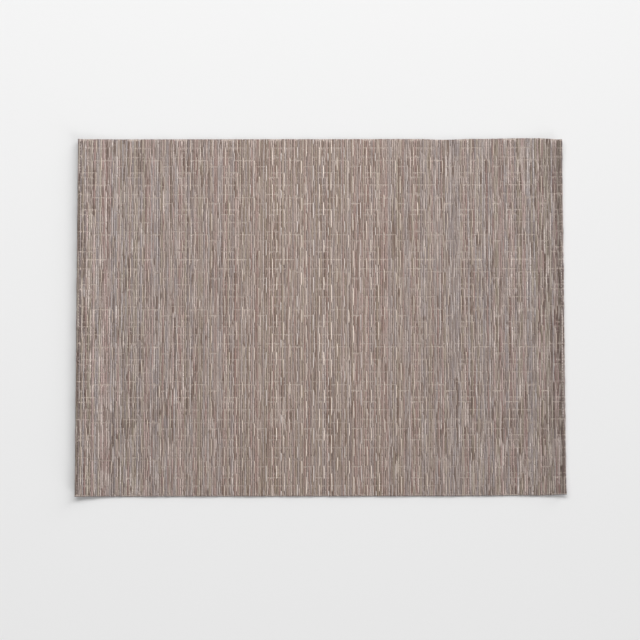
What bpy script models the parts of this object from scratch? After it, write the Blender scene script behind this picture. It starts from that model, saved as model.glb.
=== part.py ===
"""Woven mat: one flat rectangle of plaited yarn cloth with a turned hem at both short sides.

Frame: metres, +Z up, +X along the long side, origin under the middle of the mat on the floor.
The left (-X) and right (+X) sides are hemmed. The far (+Y) and near (-Y) sides are cut edges.
"""

import bpy
import bmesh
import numpy as np

# Driving dimensions
MAT_LENGTH = 0.762
MAT_WIDTH = 0.5588
CLOTH_THICKNESS = 0.0024
HEM_WIDTH = 0.0066
HEM_THICKNESS = 0.0038
HEM_STEP = 0.0010
EDGE_ROUND = 0.0006

HALF_LENGTH = MAT_LENGTH / 2
HALF_WIDTH = MAT_WIDTH / 2

# The cut edges wander a little. Columns: place along X, half length, how far the edge moves out.
FAR_EDGE_WAVES = [
    (0.195, 0.040, -0.0013),
    (0.318, 0.060, 0.0010),
    (0.381, 0.034, -0.0017),
]
NEAR_EDGE_WAVES = [
    (0.300, 0.110, -0.0008),
    (0.381, 0.044, -0.0022),
]
# A wandering edge drags the cloth beside it along, over this depth
EDGE_DRAG_DEPTH = 0.075

# The hemmed sides don't lie quite flat: height at the edge, and how far in it reaches
LEFT_LIFT = 0.0030
LEFT_LIFT_REACH = 0.060
RIGHT_LIFT = 0.0010
RIGHT_LIFT_REACH = 0.035

# Corners that curl up. Columns: side along X, side along Y, radius, height.
CORNER_CURLS = [
    (1, 1, 0.060, 0.0025),
    (1, -1, 0.050, 0.0020),
    (-1, -1, 0.040, 0.0010),
]

# Grid lines, as distances in from an edge, closer together where the cloth bends
HEM_LINES = [0.0, HEM_WIDTH - HEM_STEP, HEM_WIDTH]
LIFT_LINES = [0.013, 0.020, 0.028, 0.037, 0.048, 0.062, 0.082, 0.108, 0.136, 0.166, 0.196]
CUT_EDGE_LINES = [0.0, 0.008, 0.018, 0.030, 0.044, 0.060, 0.085, 0.140]
MIDDLE_LINES = [0.240, 0.310]

CLOTH_COLOUR = (0.333, 0.266, 0.234, 1.0)
CLOTH_ROUGHNESS = 0.62


def bell(distance, reach):
    """A smooth hump: 1 at no distance, level and exactly 0 from the reach outwards."""
    return np.clip(1 - (distance / reach) ** 2, 0, None) ** 2


def edge_wave(x, waves):
    """How far a cut edge stands out of its straight line at x: the sum of its humps."""
    return sum(amount * bell(x - centre, half_length) for centre, half_length, amount in waves)


def outline_y(x, y):
    """Y of the cloth once the cut edges wander, strongest at the edge and fading inwards."""
    far_share = np.clip((y - HALF_WIDTH) / EDGE_DRAG_DEPTH + 1, 0, 1) ** 2
    near_share = np.clip((-y - HALF_WIDTH) / EDGE_DRAG_DEPTH + 1, 0, 1) ** 2
    return y + far_share * edge_wave(x, FAR_EDGE_WAVES) - near_share * edge_wave(x, NEAR_EDGE_WAVES)


def underside(x, y):
    """Height of the underside: 0 where the mat rests, rising at the hems and curled corners."""
    height = LEFT_LIFT * bell(x + HALF_LENGTH, LEFT_LIFT_REACH)
    height = height + RIGHT_LIFT * bell(x - HALF_LENGTH, RIGHT_LIFT_REACH)
    for side_x, side_y, radius, rise in CORNER_CURLS:
        away = np.hypot(x - side_x * HALF_LENGTH, y - side_y * HALF_WIDTH)
        height = height + rise * bell(away, radius)
    return height


def thickness(x):
    """Cloth thickness, stepping up to the turned hem beside each short side."""
    from_side = HALF_LENGTH - np.abs(x)
    hem_share = np.clip((HEM_WIDTH - from_side) / HEM_STEP, 0, 1)
    return CLOTH_THICKNESS + hem_share * (HEM_THICKNESS - CLOTH_THICKNESS)


def grid_lines(from_edge, half_size):
    """Grid line positions from one side to the other, mirrored about the middle."""
    one_side = np.array(from_edge) - half_size
    return np.concatenate([one_side, -one_side[::-1]])


def clear_scene():
    """Remove whatever the file opened with."""
    for item in list(bpy.data.objects):
        bpy.data.objects.remove(item, do_unlink=True)


def cloth_material():
    """Warm grey-brown plastic-coated yarn."""
    material = bpy.data.materials.new("woven_yarn")
    material.use_nodes = True
    shader = material.node_tree.nodes["Principled BSDF"]
    shader.inputs["Base Color"].default_value = CLOTH_COLOUR
    shader.inputs["Roughness"].default_value = CLOTH_ROUGHNESS
    shader.inputs["Metallic"].default_value = 0.0
    return material


def shape_cloth(mesh_edit):
    """A level grid pulled up into a slab, then both faces are put on the cloth's own curves."""
    columns = grid_lines(HEM_LINES + LIFT_LINES + MIDDLE_LINES, HALF_LENGTH)
    rows = grid_lines(CUT_EDGE_LINES, HALF_WIDTH)
    bmesh.ops.create_grid(
        mesh_edit, x_segments=len(columns) - 1, y_segments=len(rows) - 1, size=1.0
    )
    pulled = bmesh.ops.extrude_face_region(
        mesh_edit, geom=list(mesh_edit.faces), use_keep_orig=True
    )
    top = {item for item in pulled["geom"] if isinstance(item, bmesh.types.BMVert)}
    for vertex in mesh_edit.verts:
        x = np.interp(vertex.co.x, np.linspace(-1, 1, len(columns)), columns)
        y = np.interp(vertex.co.y, np.linspace(-1, 1, len(rows)), rows)
        z = underside(x, y)
        if vertex in top:
            z += thickness(x)
        vertex.co = (x, outline_y(x, y), z)
    bmesh.ops.recalc_face_normals(mesh_edit, faces=list(mesh_edit.faces))


def centre_on_outline(mesh):
    """Slide the mat so that its outline, wandering edges and all, is centred on the origin."""
    across = [vertex.co.y for vertex in mesh.vertices]
    middle = (min(across) + max(across)) / 2
    for vertex in mesh.vertices:
        vertex.co.y -= middle


def make_mat(collection):
    """The whole mat as one closed cloth, with its rim slightly rounded."""
    mesh = bpy.data.meshes.new("mat")
    mesh_edit = bmesh.new()
    shape_cloth(mesh_edit)
    mesh_edit.to_mesh(mesh)
    mesh_edit.free()
    centre_on_outline(mesh)
    mesh.materials.append(cloth_material())
    mat = bpy.data.objects.new("mat", mesh)
    collection.objects.link(mat)
    rounding = mat.modifiers.new("rim", "BEVEL")
    rounding.width = EDGE_ROUND
    rounding.segments = 2
    rounding.limit_method = "ANGLE"
    rounding.angle_limit = np.radians(60)
    return mat


clear_scene()
mat_collection = bpy.data.collections.new("woven_mat")
bpy.context.scene.collection.children.link(mat_collection)
make_mat(mat_collection)
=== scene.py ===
import bpy
import numpy as np
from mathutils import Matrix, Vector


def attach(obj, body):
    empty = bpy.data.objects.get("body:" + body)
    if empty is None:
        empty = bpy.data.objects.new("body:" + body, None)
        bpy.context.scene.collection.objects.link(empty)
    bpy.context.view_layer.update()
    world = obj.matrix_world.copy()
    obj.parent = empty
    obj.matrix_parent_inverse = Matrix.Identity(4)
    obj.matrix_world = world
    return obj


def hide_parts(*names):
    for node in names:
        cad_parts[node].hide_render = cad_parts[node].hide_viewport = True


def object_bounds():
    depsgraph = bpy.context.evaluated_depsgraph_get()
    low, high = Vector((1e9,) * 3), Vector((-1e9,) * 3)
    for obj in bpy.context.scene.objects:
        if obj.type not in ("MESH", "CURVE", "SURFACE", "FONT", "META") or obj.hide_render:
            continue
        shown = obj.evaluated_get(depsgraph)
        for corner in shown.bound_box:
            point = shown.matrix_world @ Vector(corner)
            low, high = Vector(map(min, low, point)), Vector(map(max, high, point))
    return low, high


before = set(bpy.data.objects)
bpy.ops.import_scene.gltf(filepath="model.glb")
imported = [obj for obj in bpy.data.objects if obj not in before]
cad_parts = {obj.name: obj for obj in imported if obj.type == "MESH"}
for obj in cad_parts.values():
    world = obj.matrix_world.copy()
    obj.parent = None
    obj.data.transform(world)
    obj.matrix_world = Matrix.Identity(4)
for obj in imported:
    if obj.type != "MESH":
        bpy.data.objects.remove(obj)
cad_low, cad_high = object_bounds()
chance = np.random.default_rng(7)

# Camera
# The mat is seen from almost straight above through a long lens, its near side a shade closer than
# its far side.
CAMERA_DISTANCE = 2.2
CAMERA_TILT = np.radians(3.57)
CAMERA_ROLL = np.radians(-0.08)
CAMERA_LENS_MM = 79.24
CAMERA_SENSOR_MM = 36.0
CAMERA_AIM = np.array([-0.0009, -0.0062, 0.0])

camera = bpy.data.objects.new("camera", bpy.data.cameras.new("camera"))
camera.data.lens = CAMERA_LENS_MM
camera.data.sensor_width = CAMERA_SENSOR_MM
camera.location = CAMERA_AIM + CAMERA_DISTANCE * np.array([0, -np.sin(CAMERA_TILT), np.cos(CAMERA_TILT)])
camera.rotation_euler = (CAMERA_TILT, 0, CAMERA_ROLL)
bpy.context.scene.collection.objects.link(camera)
bpy.context.scene.camera = camera

# Picks
# The weft: thick coated picks beaten close together, straight from hem to hem. They are one pressed
# layer, ribbed on both faces, and both sides of it are folded under to make the hems.
HALF_LENGTH = float(cad_high[0])
HALF_WIDTH = 0.5588 / 2
FIELD_THICKNESS = 0.0024
HEM_THICKNESS = 0.0038
HEM_WIDTH = 0.0066
HEM_RISE_RUN = 0.0014

# Waves of the two cut edges: the middle of each, half its length and how far it stands out. The cloth
# follows them as far inwards as the drag depth.
FAR_EDGE_WAVES = [(0.195, 0.040, -0.0013), (0.318, 0.060, 0.0010), (0.381, 0.034, -0.0017)]
NEAR_EDGE_WAVES = [(0.300, 0.110, -0.0008), (0.381, 0.044, -0.0022)]
EDGE_DRAG_DEPTH = 0.075

# How high both sides and three corners stand off the floor. A corner is given by the signs of its x
# and y, its reach and its rise.
LEFT_LIFT, LEFT_LIFT_REACH = 0.0030, 0.060
RIGHT_LIFT, RIGHT_LIFT_REACH = 0.0010, 0.035
CORNER_CURLS = [(1, 1, 0.060, 0.0025), (1, -1, 0.050, 0.0020), (-1, -1, 0.040, 0.0010)]

# The hem: cloth pressed to half the hem's thickness, turned round a nose and laid back under itself
PRESSED = HEM_THICKNESS / 2
NOSE_RADIUS = PRESSED / 2
NOSE_START = HALF_LENGTH - 2 * NOSE_RADIUS
NOSE_ARC = np.pi * NOSE_RADIUS
CUT_HALF_LENGTH = NOSE_START + NOSE_ARC + HEM_WIDTH - 2 * NOSE_RADIUS

# The weave's repeat: this many ends and picks
REPEAT_LENGTH, REPEAT_ENDS = 0.0738, 32
REPEAT_WIDTH, REPEAT_PICKS = 0.0587, 24
END_PITCH = REPEAT_LENGTH / REPEAT_ENDS
PICK_PITCH = REPEAT_WIDTH / REPEAT_PICKS
CUT_FRINGE = 0.0005
PICKS = int((2 * HALF_WIDTH - 2 * CUT_FRINGE) / PICK_PITCH)
PICK_CROWN = 0.00036
PICK_VALLEY = 0.00012

# Lighter picks that float over several ends to make the fine cross lines: pick, first end, ends
PICK_FLOATS = [(0, 2, 9), (5, 6, 14), (11, 0, 10), (13, 12, 12), (17, 26, 6), (21, 5, 9)]
# Lightness of a pick with floats and of one without, how uneven it is, and the seed and lightness of
# the one row of points past the last pick
LIGHT_PICK, DARK_PICK, PICK_UNEVEN = 0.6, -0.9, 0.4
PAST_LAST_PICK = 0.5

# Columns of points over the field, inwards from the hem (each by its distance from the side) and
# round the nose
FIELD_COLUMNS = 16
BESIDE_HEM_COLUMNS = [0.070, 0.056, 0.044, 0.034, 0.025, 0.017, 0.011]
NOSE_COLUMNS = 5

# The flat map: how much of its height the face and the underside each take, and its empty rim
FACE_MAP_HEIGHT = 0.49
MAP_RIM = 0.001


def bell(distance, reach):
    """A smooth hump: (1 - (distance / reach) squared) squared, and 0 from the reach outwards."""
    return np.clip(1 - (distance / reach) ** 2, 0, None) ** 2


def edge_wave(x, waves):
    """How far a cut edge stands out of its straight line at x: the sum of its humps."""
    return sum(amount * bell(x - centre, half_length) for centre, half_length, amount in waves)


def outline_y(x, t):
    """Y of the cloth: t plus the far edge's wave, less the near edge's. Each fades inwards with the
    square of the share of the drag depth that is left."""
    far = np.clip((t - HALF_WIDTH) / EDGE_DRAG_DEPTH + 1, 0, 1) ** 2 * edge_wave(x, FAR_EDGE_WAVES)
    near = np.clip((-t - HALF_WIDTH) / EDGE_DRAG_DEPTH + 1, 0, 1) ** 2 * edge_wave(x, NEAR_EDGE_WAVES)
    return t + far - near


def underside(x, y):
    """Height of the cloth's underside: the lift of both hems plus the curl of three corners."""
    height = LEFT_LIFT * bell(x + HALF_LENGTH, LEFT_LIFT_REACH)
    height = height + RIGHT_LIFT * bell(x - HALF_LENGTH, RIGHT_LIFT_REACH)
    for side_x, side_y, reach, rise in CORNER_CURLS:
        away = np.hypot(x - side_x * HALF_LENGTH, y - side_y * HALF_WIDTH)
        height = height + rise * bell(away, reach)
    return height


def eased(share):
    """0 to 1 with a level start and end: 3 share squared minus 2 share cubed."""
    share = np.clip(share, 0, 1)
    return share * share * (3 - 2 * share)


# The part's middle is that of its box, which takes in the waves of both cut edges
along = np.linspace(-HALF_LENGTH, HALF_LENGTH, 400)
far_wave = edge_wave(along, FAR_EDGE_WAVES).max()
near_wave = edge_wave(along, NEAR_EDGE_WAVES).max()
OUTLINE_MIDDLE = (far_wave - near_wave) / 2


def laid(s, t, h):
    """Puts the flat cloth in place: s across the warp, t along it, h above the cloth's middle.

    In the field x is s. Round the nose, the angle is the arc length past its start over its radius,
    and the cloth's normal turns with it. Past the nose the cloth runs back under itself.
    """
    side, reach = np.sign(s), np.abs(s)
    turn = np.clip((reach - NOSE_START) / NOSE_RADIUS, 0, np.pi)
    back = np.clip(reach - NOSE_START - NOSE_ARC, 0, None)
    in_hem = eased((reach - HALF_LENGTH + HEM_WIDTH) / HEM_RISE_RUN + 0.5)
    h = h * (1 + in_hem * (PRESSED / FIELD_THICKNESS - 1))
    upper = FIELD_THICKNESS / 2 + in_hem * (HEM_THICKNESS - PRESSED / 2 - FIELD_THICKNESS / 2)
    middle = upper - NOSE_RADIUS * (1 - np.cos(turn))
    x = side * (np.minimum(reach, NOSE_START) + NOSE_RADIUS * np.sin(turn) - back + np.sin(turn) * h)
    y = outline_y(x, t)
    z = underside(x, y) + middle + np.cos(turn) * h
    return np.stack([x, y - OUTLINE_MIDDLE, z], axis=-1)


def mesh_object(name, points, faces, bake_map, values):
    """A smooth mesh object from whole arrays: points (n, 3), four-cornered faces (m, 4), a flat map
    (m, 4, 2) for the faces' corners, and named values that each point carries."""
    mesh = bpy.data.meshes.new(name)
    mesh.vertices.add(len(points))
    mesh.vertices.foreach_set("co", points.astype(np.float32).ravel())
    mesh.loops.add(faces.size)
    mesh.loops.foreach_set("vertex_index", faces.astype(np.int32).ravel())
    mesh.polygons.add(len(faces))
    mesh.polygons.foreach_set("loop_start", np.arange(0, faces.size, 4, dtype=np.int32))
    layer = mesh.uv_layers.new(name="OFBake")
    layer.uv.foreach_set("vector", bake_map.astype(np.float32).ravel())
    for key, value in values.items():
        attribute = mesh.attributes.new(key, "FLOAT", "POINT")
        attribute.data.foreach_set("value", value.astype(np.float32).ravel())
    mesh.update(calc_edges=True)
    mesh.validate()
    mesh.shade_smooth()
    made = bpy.data.objects.new(name, mesh)
    bpy.context.scene.collection.objects.link(made)
    return made


def grid_faces(number):
    """Four-cornered faces between neighbouring rows and columns of a grid of point numbers."""
    corners = [number[:-1, :-1], number[1:, :-1], number[1:, 1:], number[:-1, 1:]]
    return np.stack(corners, axis=-1).reshape(-1, 4)


def pick_layer():
    """Two gridded faces joined by a rim. A point's height is the pick's crown on the middle of a
    pick and its valley between two, above and below the cloth's middle."""
    beside_hem = HALF_LENGTH - np.array(BESIDE_HEM_COLUMNS)
    rise = HALF_LENGTH - HEM_WIDTH + HEM_RISE_RUN * np.array([-0.5, 0, 0.5])
    nose = NOSE_START + NOSE_ARC * np.linspace(0, 1, NOSE_COLUMNS)
    side = np.concatenate([beside_hem, rise, nose, [CUT_HALF_LENGTH]])
    field = np.linspace(-side[0], side[0], FIELD_COLUMNS + 2)[1:-1]
    half_pick = np.arange(2 * PICKS + 1)
    t = HALF_WIDTH - CUT_FRINGE - PICK_PITCH * (PICKS - half_pick / 2)
    rib = np.where(half_pick % 2, PICK_CROWN, PICK_VALLEY)
    s, t = np.meshgrid(np.concatenate([-side[::-1], field, side]), t, indexing="ij")
    points = np.concatenate([laid(s, t, rib), laid(s, t, -rib)]).reshape(-1, 3)
    number = np.arange(len(points)).reshape(2, *s.shape)
    top, under = number
    rim = [
        (under[:, 0], top[:, 0]), (top[:, -1], under[:, -1]), (top[0], under[0]), (under[-1], top[-1]),
    ]
    rim = [grid_faces(np.stack(rows, axis=1)) for rows in rim]
    faces = np.concatenate([grid_faces(top), grid_faces(under.T), *rim])
    across = (s / CUT_HALF_LENGTH + 1) / 2
    up = (t / HALF_WIDTH + 1) / 2 * FACE_MAP_HEIGHT
    spread = np.stack([np.stack([across, up], -1), np.stack([across, 1 - FACE_MAP_HEIGHT + up], -1)])
    bake_map = np.clip(spread.reshape(-1, 2)[faces], MAP_RIM, 1 - MAP_RIM)
    in_repeat = (PICKS - 1 - np.arange(PICKS)) % REPEAT_PICKS
    is_light = np.isin(in_repeat, [row[0] for row in PICK_FLOATS])
    seed = chance.random(PICKS)
    lightness = np.where(is_light, LIGHT_PICK, DARK_PICK) + chance.normal(0, PICK_UNEVEN, PICKS)
    seed = np.repeat(np.append(seed, PAST_LAST_PICK), 2)[:-1]
    lightness = np.repeat(np.append(lightness, PAST_LAST_PICK), 2)[:-1]
    carried = {"seed": seed, "lightness": lightness, "paleness": 0 * seed, "deepness_and_shade": 0 * seed}
    carried = {key: np.broadcast_to(value, number.shape) for key, value in carried.items()}
    return mesh_object("picks", points, faces, bake_map, carried)


# The tone of a coated yarn, from dark at 0 to light at 1: a base plus shares of its stored lightness,
# of patches over the cloth and of streaks along the yarn, and painted light and shade over its rise
# and dip at each pick
TONE_BASE = 0.18
LIGHTNESS_SHARE = 0.24
PATCH_SHARE = 0.42
STREAK_SHARE = 0.24
PICK_LIGHT_AND_SHADE = 0.035

# How close the noises lie, for each metre: patches in x, y and z, streaks and tinted lengths along the
# yarn, and filaments. A seed times its spacing sets one yarn's noise apart from another's.
PATCHES = (80.0, 20.0, 80.0)
STREAKS, TINTED_LENGTHS = 90.0, 28.0
FILAMENTS = 900.0
SEED_SPACING = 731.0

# The tint comes in where its noise passes from one value to the other, up to its share
TINT_FROM, TINT_TO, TINT_SHARE = 0.42, 0.60, 0.5
# How much the filaments and painted glints show in the colour, the filaments in the roughness, and
# both they and the picks in the bump
FILAMENT_AND_GLINT_SHARE = 0.15
LEAST_ROUGHNESS, FILAMENT_ROUGHNESS = 0.30, 0.30
PICK_BUMP, FILAMENT_BUMP, BUMP_DEPTH = 0.3, 0.25, 0.0002
YARN_SHINE = 0.45


def node(tree, kind, inputs=None, **settings):
    """A new node with its settings, and its inputs by name or number: a value or another's output."""
    made = tree.nodes.new(kind)
    for key, value in settings.items():
        setattr(made, key, value)
    for key, value in (inputs or {}).items():
        if isinstance(value, bpy.types.NodeSocket):
            tree.links.new(value, made.inputs[key])
        else:
            made.inputs[key].default_value = value
    return made


def maths(tree, operation, *terms):
    """The output of a Math node on these terms."""
    return node(tree, "ShaderNodeMath", dict(enumerate(terms)), operation=operation).outputs[0]


def mixed(tree, share, first, second, blend="MIX"):
    """The colour output, number 2, of a Mix node. Inputs 0, 6 and 7 are its share and two colours."""
    terms = {0: share, 6: first, 7: second}
    return node(tree, "ShaderNodeMix", terms, data_type="RGBA", blend_type=blend).outputs[2]


def noise(tree, vector, scale=1.0, detail=1.0):
    """The first output of a Noise Texture node: a value about 0.5 that wanders with the vector."""
    inputs = {"Vector": vector, "Scale": scale, "Detail": detail}
    return node(tree, "ShaderNodeTexNoise", inputs).outputs[0]


def object_place(tree):
    """A point's place in its mesh."""
    return node(tree, "ShaderNodeTexCoord").outputs["Object"]


def stored(tree, name):
    """A value that the mesh's points carry."""
    return node(tree, "ShaderNodeAttribute", attribute_name=name).outputs["Fac"]


def colour(red, green, blue):
    """A colour given as the eye's 0 to 255 values, as the linear values that a shader takes: the
    share over 12.92 where it is dark, and otherwise a power of 2.4 of the share raised a little."""
    share = np.array([red, green, blue]) / 255
    linear = np.where(share <= 0.04045, share / 12.92, ((share + 0.055) / 1.055) ** 2.4)
    return (*linear.tolist(), 1.0)


def new_group(name, inputs, outputs):
    """An empty shader node group with named sockets, its input node and its output node."""
    group = bpy.data.node_groups.new(name, "ShaderNodeTree")
    for key, kind in inputs.items():
        group.interface.new_socket(key, in_out="INPUT", socket_type="NodeSocket" + kind)
    for key, kind in outputs.items():
        group.interface.new_socket(key, in_out="OUTPUT", socket_type="NodeSocket" + kind)
    return group, group.nodes.new("NodeGroupInput").outputs, group.nodes.new("NodeGroupOutput").inputs


def coated_yarn_group():
    """Colour of plastic-coated yarn dyed in uneven lengths.

    The tone, a sum of shares, takes the colour from Dark to Light. Another noise along the yarn
    brings in Tint, and the stored paleness turns it to Pale. The stored deepness and painted shade turn
    it to Deep. A fine noise paints filament marks and glints, a painted highlight, into the colour and
    gives the filaments' grooves. The yarn rises over each pick and dips between two: a cosine of the
    stored pick number, level on pale floats and on yarns that carry no pick number. It bumps the
    surface, and paints light on the rise and shade in the dips.
    """
    inputs = {"Run": "Float", "Dark": "Color", "Light": "Color", "Tint": "Color"}
    inputs |= {"Pale": "Color", "Deep": "Color"}
    outputs = {"Color": "Color", "Roughness": "Float", "Height": "Float"}
    tree, given, result = new_group("coated_yarn", inputs, outputs)
    strand = maths(tree, "MULTIPLY", stored(tree, "seed"), SEED_SPACING)
    place = object_place(tree)

    def streak(lengths_per_metre, offset):
        """Noise along the yarn's run, unlike from yarn to yarn. The offset sets two of them apart."""
        run = maths(tree, "MULTIPLY", given["Run"], lengths_per_metre)
        return noise(tree, node(tree, "ShaderNodeCombineXYZ", {0: strand, 1: run, 2: offset}).outputs[0])

    paleness = stored(tree, "paleness")
    over_pick = maths(tree, "COSINE", maths(tree, "MULTIPLY", stored(tree, "pick"), 2 * np.pi))
    over_pick = maths(tree, "MULTIPLY", over_pick, maths(tree, "SUBTRACT", 1.0, paleness))
    stretched = node(tree, "ShaderNodeVectorMath", {0: place, 1: PATCHES}, operation="MULTIPLY")
    tone = maths(tree, "MULTIPLY_ADD", stored(tree, "lightness"), LIGHTNESS_SHARE, TONE_BASE)
    tone = maths(tree, "MULTIPLY_ADD", noise(tree, stretched.outputs[0]), PATCH_SHARE, tone)
    # Painted light where the yarn rises over a pick and painted shade in the dips between picks
    tone = maths(tree, "MULTIPLY_ADD", over_pick, PICK_LIGHT_AND_SHADE, tone)
    tone = maths(tree, "MULTIPLY_ADD", streak(STREAKS, offset=3.1), STREAK_SHARE, tone)
    tone = node(tree, "ShaderNodeClamp", {"Value": tone}).outputs[0]
    shade = mixed(tree, tone, given["Dark"], given["Light"])
    tint_noise = {0: streak(TINTED_LENGTHS, offset=17.3), 1: TINT_FROM, 2: TINT_TO}
    tinted = node(tree, "ShaderNodeMapRange", tint_noise).outputs[0]
    shade = mixed(tree, maths(tree, "MULTIPLY", tinted, TINT_SHARE), shade, given["Tint"])
    shade = mixed(tree, paleness, shade, given["Pale"])
    shade = mixed(tree, stored(tree, "deepness_and_shade"), shade, given["Deep"])
    fine = noise(tree, place, scale=FILAMENTS, detail=2.0)
    roughness = maths(tree, "MULTIPLY_ADD", fine, FILAMENT_ROUGHNESS, LEAST_ROUGHNESS)
    grooves = maths(tree, "MULTIPLY", fine, FILAMENT_BUMP)
    # Filament marks and painted glints overlaid on the colour
    tree.links.new(mixed(tree, FILAMENT_AND_GLINT_SHARE, shade, fine, "OVERLAY"), result["Color"])
    tree.links.new(roughness, result["Roughness"])
    tree.links.new(maths(tree, "MULTIPLY_ADD", over_pick, PICK_BUMP, grooves), result["Height"])
    return tree


coated_yarn = coated_yarn_group()


def yarn_material(name, run_axis, dark, light, tint, pale=(0, 0, 0), deep=(0, 0, 0)):
    """A satin material on the coated yarn group, for yarns that run along the named axis."""
    material = bpy.data.materials.new(name)
    material.use_nodes = True
    tree = material.node_tree
    shader = tree.nodes["Principled BSDF"]
    shader.inputs["Specular IOR Level"].default_value = YARN_SHINE
    run = node(tree, "ShaderNodeSeparateXYZ", {0: object_place(tree)}).outputs[run_axis]
    shades = {"Dark": dark, "Light": light, "Tint": tint, "Pale": pale, "Deep": deep}
    shades = {key: colour(*shade) for key, shade in shades.items()}
    yarn = node(tree, "ShaderNodeGroup", {"Run": run, **shades}, node_tree=coated_yarn)
    bump = {"Height": yarn.outputs["Height"], "Strength": 1.0, "Distance": BUMP_DEPTH}
    tree.links.new(yarn.outputs["Color"], shader.inputs["Base Color"])
    tree.links.new(yarn.outputs["Roughness"], shader.inputs["Roughness"])
    tree.links.new(node(tree, "ShaderNodeBump", bump).outputs[0], shader.inputs["Normal"])
    return material


picks = pick_layer()
picks.data.materials.append(yarn_material(
    "pick_yarn", "X", dark=(108, 93, 85), light=(206, 191, 180), tint=(150, 136, 130),
))

# Ground ends
# The warp: 23 ends of each 32, close together on the face and bound down under one pick in twelve, as
# in satin. Three shades of coated yarn, dyed in short lengths, give the cloth its broken stripes.
GROUND_HALF_THICKNESS = 0.00050
SATIN_PICKS, SATIN_STEP = 12, 5

# Figuring ends, which float over the face to make the dashes: end of the repeat, first pick, picks
FIGURE_FLOATS = [
    (0, 17, 10), (4, 5, 12), (7, 17, 8), (10, 9, 5), (12, 22, 11),
    (16, 12, 8), (21, 5, 7), (24, 14, 8), (27, 0, 11),
]
SILVER_ENDS = [0, 10, 21]

# Heights above the cloth's middle: a ground end on the face and under the pick that binds it, a
# figuring end afloat and beneath the cloth, and any ground end under a floating pick
GROUND_UP, GROUND_BOUND = 0.00050, -0.00012
FIGURE_UP, FIGURE_UNDER = 0.00062, -0.00062
PICK_FLOAT_DOWN = -0.00010

# Room that a figuring end takes beside the others, as a share of the pitch, how uneven the ends are,
# and how far the line of a figuring end wanders
ROOM_FIGURE_UP, ROOM_FIGURE_UNDER = 0.72, 0.42
ROOM_UNEVEN = 0.10
LINE_WANDER = 0.00022
# How often each of these is averaged with its neighbours along the end
ROOM_PASSES, UNEVEN_PASSES, WANDER_PASSES = 2, 10, 120

# How pale the ends are in the mat's middle, how far towards the hems they stay so, as a share of half
# the length, and how unlike one figuring end is to another
FIGURE_PALENESS, GROUND_PALENESS = 0.78, 0.30
CREAM_SPREAD, SILVER_SPREAD, GROUND_SPREAD = 0.38, 0.36, 0.70
PALENESS_UNEVEN, PALENESS_LIMIT = 0.15, 1.3

# How much the ends deepen towards the hems and from what share of half the length, the silver ends
# first. The left hem has a share of the right hem's deepness.
SILVER_DEEPNESS, SILVER_DEEP_FROM = 0.15, 0.75
HEM_DEEPNESS, RIGHT_DEEP_FROM, LEFT_DEEP_FROM = 0.24, 0.88, 0.94
LEFT_DEEP_SHARE = 0.5
# Painted shade along a hem's inner edge, in its groove, and along its outer edge: how wide to each
# side, and how dark
INNER_GROOVE_REACH, OUTER_GROOVE_REACH = 0.0016, 0.0024
HEM_EDGE_SHADE = 0.5
# Painted shade on the yarns' cut ends at both cut edges
CUT_END_SHADE = 0.6

# Lightness of the yarn: how many picks one dyed length covers on average, how much it darkens its
# neighbours, and how much darker the yarns on both sides of a float look, in its shade
DYED_PICKS = 12
NEIGHBOUR_SHARE = 0.6
FLOAT_SHADE = 0.8

# Whole repeats from the mat's left side on, with one more to its left for the hem that is turned under
LEFT_REPEATS = 1
RIGHT_REPEATS = int(np.ceil((HALF_LENGTH + CUT_HALF_LENGTH) / REPEAT_LENGTH))
REPEATS = LEFT_REPEATS + RIGHT_REPEATS


def drafted():
    """The weaver's draft over every end and pick: each end's height and the room it takes.

    A ground end is bound where the satin's step times its number, plus the pick's, is a multiple of
    the satin's picks. Charted floats override that.
    """
    end = np.arange(REPEATS * REPEAT_ENDS)[:, None]
    pick = (PICKS - 1 - np.arange(PICKS))[None, :]
    end_in, pick_in = end % REPEAT_ENDS, pick % REPEAT_PICKS
    height = np.where((SATIN_STEP * end + pick) % SATIN_PICKS == 0, GROUND_BOUND, GROUND_UP)
    room = np.ones(height.shape)
    for float_pick, first, count in PICK_FLOATS:
        over = (pick_in == float_pick) & ((end_in - first) % REPEAT_ENDS < count)
        height = np.where(over, PICK_FLOAT_DOWN, height)
    for figure_end, first, count in FIGURE_FLOATS:
        floats = (pick_in - first) % REPEAT_PICKS < count
        mine = end_in == figure_end
        height = np.where(mine, np.where(floats, FIGURE_UP, FIGURE_UNDER), height)
        room = np.where(mine, np.where(floats, ROOM_FIGURE_UP, ROOM_FIGURE_UNDER), room)
    return height, room


def smoothed(values, passes, axis):
    """Values averaged with their neighbours along an axis, 1 2 1, this many times."""
    for _ in range(passes):
        values = (np.roll(values, 1, axis) + 2 * values + np.roll(values, -1, axis)) / 4
    return values


def end_sides(room, is_figure):
    """Where each end's two sides lie. A figuring end keeps to its own line, wandering a little, and
    the ground ends up to the next figuring end share the space between the two by their room."""
    line = -HALF_LENGTH + END_PITCH * (np.arange(len(room))[:, None] + 0.5 - LEFT_REPEATS * REPEAT_ENDS)
    wander = smoothed(chance.normal(size=room.shape), WANDER_PASSES, 1)
    line = line + LINE_WANDER * wander / wander.std()
    uneven = smoothed(chance.normal(size=room.shape), UNEVEN_PASSES, 1)
    room = smoothed(room, ROOM_PASSES, 1) * (1 + ROOM_UNEVEN * uneven / uneven.std())
    first = np.flatnonzero(is_figure)
    group = np.cumsum(is_figure) - 1
    half_figure = room[first] * END_PITCH / 2
    start = line[first] + half_figure
    stop = np.concatenate([line[first[1:]] - half_figure[1:], line[-1:] + END_PITCH / 2])
    ground = np.where(is_figure[:, None], 0, room)
    total = np.add.reduceat(ground, first)
    reached = np.cumsum(ground, axis=0)
    reached = reached - reached[first][group]
    right = start[group] + (stop - start)[group] * reached / total[group]
    left = right - (stop - start)[group] * ground / total[group]
    left[first] = line[first] - half_figure
    right[first] = start
    return left, right


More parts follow.
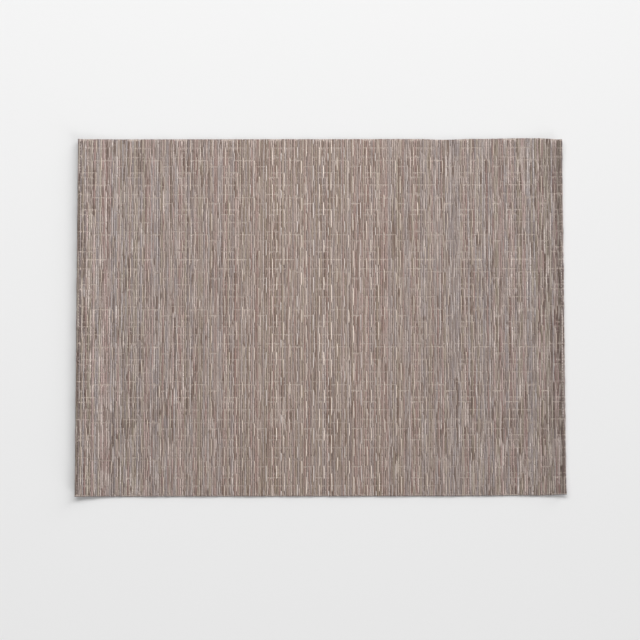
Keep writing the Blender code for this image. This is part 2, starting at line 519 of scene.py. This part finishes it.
def yarns(name, left, right, height, run, half_thickness, values):
    """Closed four-sided yarns side by side. Each has a left edge, a crown, a right edge and a belly,
    the crown and belly half a thickness above and below its height, carried along its run. The flat
    map lays the four sides of every yarn in strips beside each other, and the caps in its corner."""
    count, rows = left.shape
    middle = (left + right) / 2
    s = np.stack([left, middle, right, middle], axis=-1)
    h = np.stack([height, height + half_thickness, height, height - half_thickness], axis=-1)
    t = np.repeat(np.broadcast_to(run, left.shape)[..., None], 4, axis=-1)
    number = np.arange(s.size).reshape(s.shape)
    near, far = number[:, :-1], number[:, 1:]
    walls = np.stack([near, np.roll(near, -1, axis=2), np.roll(far, -1, axis=2), far], axis=-1)
    caps = np.concatenate([number[:, 0, ::-1], number[:, -1]])
    faces = np.concatenate([walls.reshape(-1, 4), caps])
    step_u, step_v = 1 / (4 * count), 1 / (rows - 1)
    u = np.broadcast_to(step_u * np.arange(4 * count).reshape(count, 1, 4), near.shape)
    v = np.broadcast_to(step_v * np.arange(rows - 1)[:, None], near.shape)
    corners = [(u, v), (u + step_u, v), (u + step_u, v + step_v), (u, v + step_v)]
    walls_map = np.stack([np.stack(corner, axis=-1) for corner in corners], axis=-2).reshape(-1, 4, 2)
    caps_map = np.zeros((len(caps), 4, 2))
    bake_map = np.concatenate([walls_map, caps_map]) * (1 - 2 * MAP_RIM) + MAP_RIM
    values = {
        key: np.broadcast_to(value.reshape(count, -1, 1), number.shape) for key, value in values.items()
    }
    return mesh_object(name, laid(s, t, h).reshape(-1, 3), faces, bake_map, values)


height, room = drafted()
end_in_repeat = np.arange(len(room)) % REPEAT_ENDS
is_figure = np.isin(end_in_repeat, [row[0] for row in FIGURE_FLOATS])
is_silver = np.isin(end_in_repeat, SILVER_ENDS)
left, right = end_sides(room, is_figure)
kept = (right.mean(axis=1) > -CUT_HALF_LENGTH) & (left.mean(axis=1) < CUT_HALF_LENGTH)
pick_t = HALF_WIDTH - CUT_FRINGE - PICK_PITCH * (PICKS - 0.5 - np.arange(PICKS))
end_seed = chance.random(len(left))
# An end's place, from -1 at the mat's left side to 1 at its right
end_place = (left + right).mean(axis=1) / 2 / HALF_LENGTH

# Paleness falls off from the mat's middle as a normal curve over the end's spread
spread = np.where(is_silver, SILVER_SPREAD, np.where(is_figure, CREAM_SPREAD, GROUND_SPREAD))
hump = np.exp(-(end_place / spread) ** 2)
own_paleness = np.clip(1 + PALENESS_UNEVEN * chance.normal(size=len(left)), 0, PALENESS_LIMIT)
paleness = np.where(is_figure, FIGURE_PALENESS * own_paleness, GROUND_PALENESS) * hump

# Deepness grows towards the hems, and painted shade added to it is darkest in the hems' grooves and
# along their outer edges
towards_hem = eased((np.abs(end_place) - SILVER_DEEP_FROM) / (1 - SILVER_DEEP_FROM))
beside_left = LEFT_DEEP_SHARE * eased((-end_place - LEFT_DEEP_FROM) / (1 - LEFT_DEEP_FROM))
beside_hem = beside_left + eased((end_place - RIGHT_DEEP_FROM) / (1 - RIGHT_DEEP_FROM))
from_edge = HALF_LENGTH - np.abs(end_place) * HALF_LENGTH
# Painted shade in each hem's groove and along its outer edge
shaded_hem_edges = bell(from_edge - HEM_WIDTH, INNER_GROOVE_REACH) + bell(from_edge, OUTER_GROOVE_REACH)
deepness_and_shade = np.where(is_silver, SILVER_DEEPNESS * towards_hem, HEM_DEEPNESS * beside_hem)
deepness_and_shade = deepness_and_shade + HEM_EDGE_SHADE * shaded_hem_edges


def dyed_in_lengths(shape):
    """Lightness of each end at each pick, about -2 to 2. An end keeps one lightness for a length of
    a few picks, then takes another. A light length makes its neighbours a little darker."""
    changes = chance.random(shape) < 1 / DYED_PICKS
    lengths = chance.normal(size=shape)
    lightness = np.take_along_axis(lengths, np.cumsum(changes, axis=1) - changes[:, :1], axis=1)
    lightness = smoothed(lightness, 1, 1)
    beside = (np.roll(lightness, 1, 0) + np.roll(lightness, -1, 0)) / 2
    return lightness - NEIGHBOUR_SHARE * beside


# The dyed lengths differ more beside the hems, and a float shades its neighbours
floats_up = height == FIGURE_UP
lightness = dyed_in_lengths(room.shape) * (1 + beside_hem)[:, None]
lightness = lightness - FLOAT_SHADE * (np.roll(floats_up, 1, 0) | np.roll(floats_up, -1, 0))


def with_cut_ends(rows):
    """The rows of the picks with one more at each cut edge, like its neighbour."""
    return np.concatenate([rows[:, :1], rows, rows[:, -1:]], axis=1)


def woven_ends(name, chosen, half_thickness):
    """The chosen ends as yarns, from one cut edge to the other, each cut a little unevenly. Their cut
    ends carry painted shade.
    """
    count = int(chosen.sum())
    run = np.broadcast_to(pick_t, (count, PICKS))
    cut = HALF_WIDTH - chance.uniform(0, CUT_FRINGE / 2, (2, count, 1))
    run = np.concatenate([-cut[0], run, cut[1]], axis=1)
    sides = with_cut_ends(left[chosen]), with_cut_ends(right[chosen])
    # Painted shade on the first and last row, the yarns' cut ends
    shaded_cut_ends = np.pad(np.zeros((count, PICKS)), ((0, 0), (1, 1)), constant_values=CUT_END_SHADE)
    values = {
        "seed": end_seed[chosen],
        "lightness": with_cut_ends(lightness[chosen]),
        "paleness": paleness[chosen],
        "deepness_and_shade": deepness_and_shade[chosen][:, None] + shaded_cut_ends,
        "pick": np.broadcast_to(np.arange(-1, PICKS + 1), (count, PICKS + 2)),
    }
    return yarns(name, *sides, with_cut_ends(height[chosen]), run, half_thickness, values)


GROUND_SHADES = {
    "taupe": {"dark": (111, 95, 86), "light": (202, 189, 182), "tint": (155, 146, 129)},
    "stone": {"dark": (112, 97, 89), "light": (202, 191, 186), "tint": (149, 143, 146)},
    "umber": {"dark": (112, 94, 86), "light": (202, 188, 182), "tint": (164, 136, 132)},
}
GROUND_WARM, GROUND_DEEP = (158, 131, 114), (89, 71, 69)
shade_of_end = chance.integers(0, len(GROUND_SHADES), len(left))
is_ground = kept & ~is_figure
ground_pieces = []
for number, (shade_name, shades) in enumerate(GROUND_SHADES.items()):
    chosen = is_ground & (shade_of_end == number)
    piece = woven_ends(f"ground_ends_{shade_name}", chosen, GROUND_HALF_THICKNESS)
    yarn = yarn_material(f"{shade_name}_yarn", "Y", **shades, pale=GROUND_WARM, deep=GROUND_DEEP)
    piece.data.materials.append(yarn)
    ground_pieces.append(piece)

# Figuring ends
# Two more coated yarns, cream and silver grey, that pass under the cloth and come up to float over
# five to twelve picks. Dyed pale for the mat's middle, they turn into the ground's shades and darker
# towards the hems.
FIGURE_HALF_THICKNESS = 0.00055
is_figure = kept & is_figure
cream_ends = woven_ends("figure_ends_cream", is_figure & ~is_silver, FIGURE_HALF_THICKNESS)
cream_ends.data.materials.append(yarn_material(
    "cream_yarn", "Y", dark=(149, 133, 123), light=(209, 193, 181), tint=(184, 166, 154),
    pale=(240, 225, 214), deep=(108, 88, 86),
))
silver_ends = woven_ends("figure_ends_silver", is_figure & is_silver, FIGURE_HALF_THICKNESS)
silver_ends.data.materials.append(yarn_material(
    "silver_yarn", "Y", dark=(137, 122, 116), light=(198, 183, 175), tint=(166, 153, 151),
    pale=(226, 216, 211), deep=(76, 58, 56),
))

# Hem stitching
# One row of lock stitches holds each turned hem, a thread's loops lying on the face and on the
# underside. The left row's stitches are a little longer than the right row's.
STITCH_IN_FROM_EDGE = 0.0048
STITCH_ROWS = {"left": (-1, 0.0046), "right": (1, 0.0042)}
STITCH_GAP = 0.0022
THREAD_HALF_WIDTH = 0.00050
THREAD_RISE = 0.00105
THREAD_UNEVEN = 0.00008
# Where a stitch's points lie, from -1 at its start to 1 at its end
STITCH_WAY = np.array([-1, -0.8, -0.45, 0, 0.45, 0.8, 1])


def stitch_row(name, side, length):
    """Short yarns end to end. Each rises from the cloth, runs level and dips in again: its height is
    the thread's rise times one minus the sixth power of the way from the stitch's middle."""
    count = int(2 * HALF_WIDTH / length) - 1
    centre = (np.arange(count) - (count - 1) / 2) * length
    t = np.concatenate([centre, centre])[:, None] + STITCH_WAY * (length - STITCH_GAP) / 2
    on_face = HALF_LENGTH - STITCH_IN_FROM_EDGE
    beneath = NOSE_START + NOSE_ARC + STITCH_IN_FROM_EDGE - 2 * NOSE_RADIUS
    s = side * np.repeat([on_face, beneath], count)[:, None] + chance.normal(0, THREAD_UNEVEN, t.shape)
    h = THREAD_RISE * (1 - STITCH_WAY**6) * np.ones((2 * count, 1))
    values = {"seed": chance.random(2 * count), "lightness": chance.normal(size=2 * count)}
    values |= {"paleness": np.zeros(2 * count), "deepness_and_shade": np.zeros(2 * count)}
    return yarns(name, s - THREAD_HALF_WIDTH, s + THREAD_HALF_WIDTH, h, t, THREAD_HALF_WIDTH, values)


stitch_pieces = [stitch_row(f"hem_stitches_{hem}", *row) for hem, row in STITCH_ROWS.items()]
thread_material = yarn_material(
    "hem_thread", "Y", dark=(84, 70, 66), light=(116, 100, 94), tint=(96, 80, 78),
)
for piece in stitch_pieces:
    piece.data.materials.append(thread_material)

# The whole cloth
# Every yarn belongs to one sheet, cut longer than the mat by the two hems and laid loose on the
# floor.
yarn_pieces = ground_pieces + [cream_ends, silver_ends] + stitch_pieces
for piece in [picks] + yarn_pieces:
    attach(piece, "root")
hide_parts("mat")

# Floor and light
# A paper floor with painted shade and light: darker on the far side, which the wide soft light
# overhead is nearer to, and lighter on the near side, against the light's falloff. Two low soft
# lights on the right, far and near, leave a soft shadow along the lifted left hem.
FLOOR_SIZE = 12.0
# Paper colour on the far and near side: painted shade and painted light against the light's falloff
FAR_PAPER, NEAR_PAPER = (0.712, 0.712, 0.712, 1), (0.852, 0.852, 0.852, 1)
FAR_PAPER_Y, NEAR_PAPER_Y = 0.50, -0.50
PAPER_ROUGHNESS = 0.9
# The paper's faint mottling: how close it lies, for each metre, and its shares
MOTTLES = 3.0
MOTTLE_SHARE, MOTTLE_ROUGHNESS = 0.02, 0.1
OVERHEAD_PLACE, OVERHEAD_WATTS = (0.0, 2.0, 1.8), 91.0
OVERHEAD_LENGTH, OVERHEAD_WIDTH = 5.0, 1.2
SIDE_HEIGHT, SIDE_STRENGTH, SIDE_ANGLE = 0.31, 1.85, np.radians(28)
ROOM_STRENGTH = 0.28

bpy.ops.mesh.primitive_plane_add(size=FLOOR_SIZE, location=(0, 0, 0))
floor = bpy.context.object
floor.name = "floor"
floor_material = bpy.data.materials.new("floor_paper")
floor_material.use_nodes = True
floor_tree = floor_material.node_tree
paper = floor_tree.nodes["Principled BSDF"]
paper.inputs["Specular IOR Level"].default_value = 0.0
floor_place = object_place(floor_tree)
mottle = noise(floor_tree, floor_place, scale=MOTTLES, detail=2.0)
floor_y = node(floor_tree, "ShaderNodeSeparateXYZ", {0: floor_place}).outputs["Y"]
nearness = {0: floor_y, 1: FAR_PAPER_Y, 2: NEAR_PAPER_Y}
nearness = node(floor_tree, "ShaderNodeMapRange", nearness).outputs[0]
nearness = maths(floor_tree, "MULTIPLY_ADD", mottle, MOTTLE_SHARE, nearness)
roughness = maths(floor_tree, "MULTIPLY_ADD", mottle, MOTTLE_ROUGHNESS, PAPER_ROUGHNESS)
floor_tree.links.new(mixed(floor_tree, nearness, FAR_PAPER, NEAR_PAPER), paper.inputs["Base Color"])
floor_tree.links.new(roughness, paper.inputs["Roughness"])
floor.data.materials.append(floor_material)


def soft_light(name, kind, place, strength, **settings):
    """A light at a place, turned to face the mat's middle: tilted by the angle between its place and
    straight up, and turned by the place's bearing and a quarter turn more."""
    light = bpy.data.objects.new(name, bpy.data.lights.new(name, kind))
    light.data.energy = strength
    for key, value in settings.items():
        setattr(light.data, key, value)
    light.location = place
    away = np.array(place) / np.linalg.norm(place)
    light.rotation_euler = (np.arccos(away[2]), 0, np.arctan2(away[1], away[0]) + np.pi / 2)
    bpy.context.scene.collection.objects.link(light)


soft_light(
    "overhead_light", "AREA", OVERHEAD_PLACE, OVERHEAD_WATTS,
    shape="RECTANGLE", size=OVERHEAD_LENGTH, size_y=OVERHEAD_WIDTH,
)
for name, side in (("far_side_light", 1), ("near_side_light", -1)):
    soft_light(name, "SUN", (1.0, side, SIDE_HEIGHT), SIDE_STRENGTH, angle=SIDE_ANGLE)
world = bpy.data.worlds.new("studio")
world.use_nodes = True
world.node_tree.nodes["Background"].inputs["Color"].default_value = (1, 1, 1, 1)
world.node_tree.nodes["Background"].inputs["Strength"].default_value = ROOM_STRENGTH
bpy.context.scene.world = world
bpy.context.scene.view_settings.view_transform = "Standard"
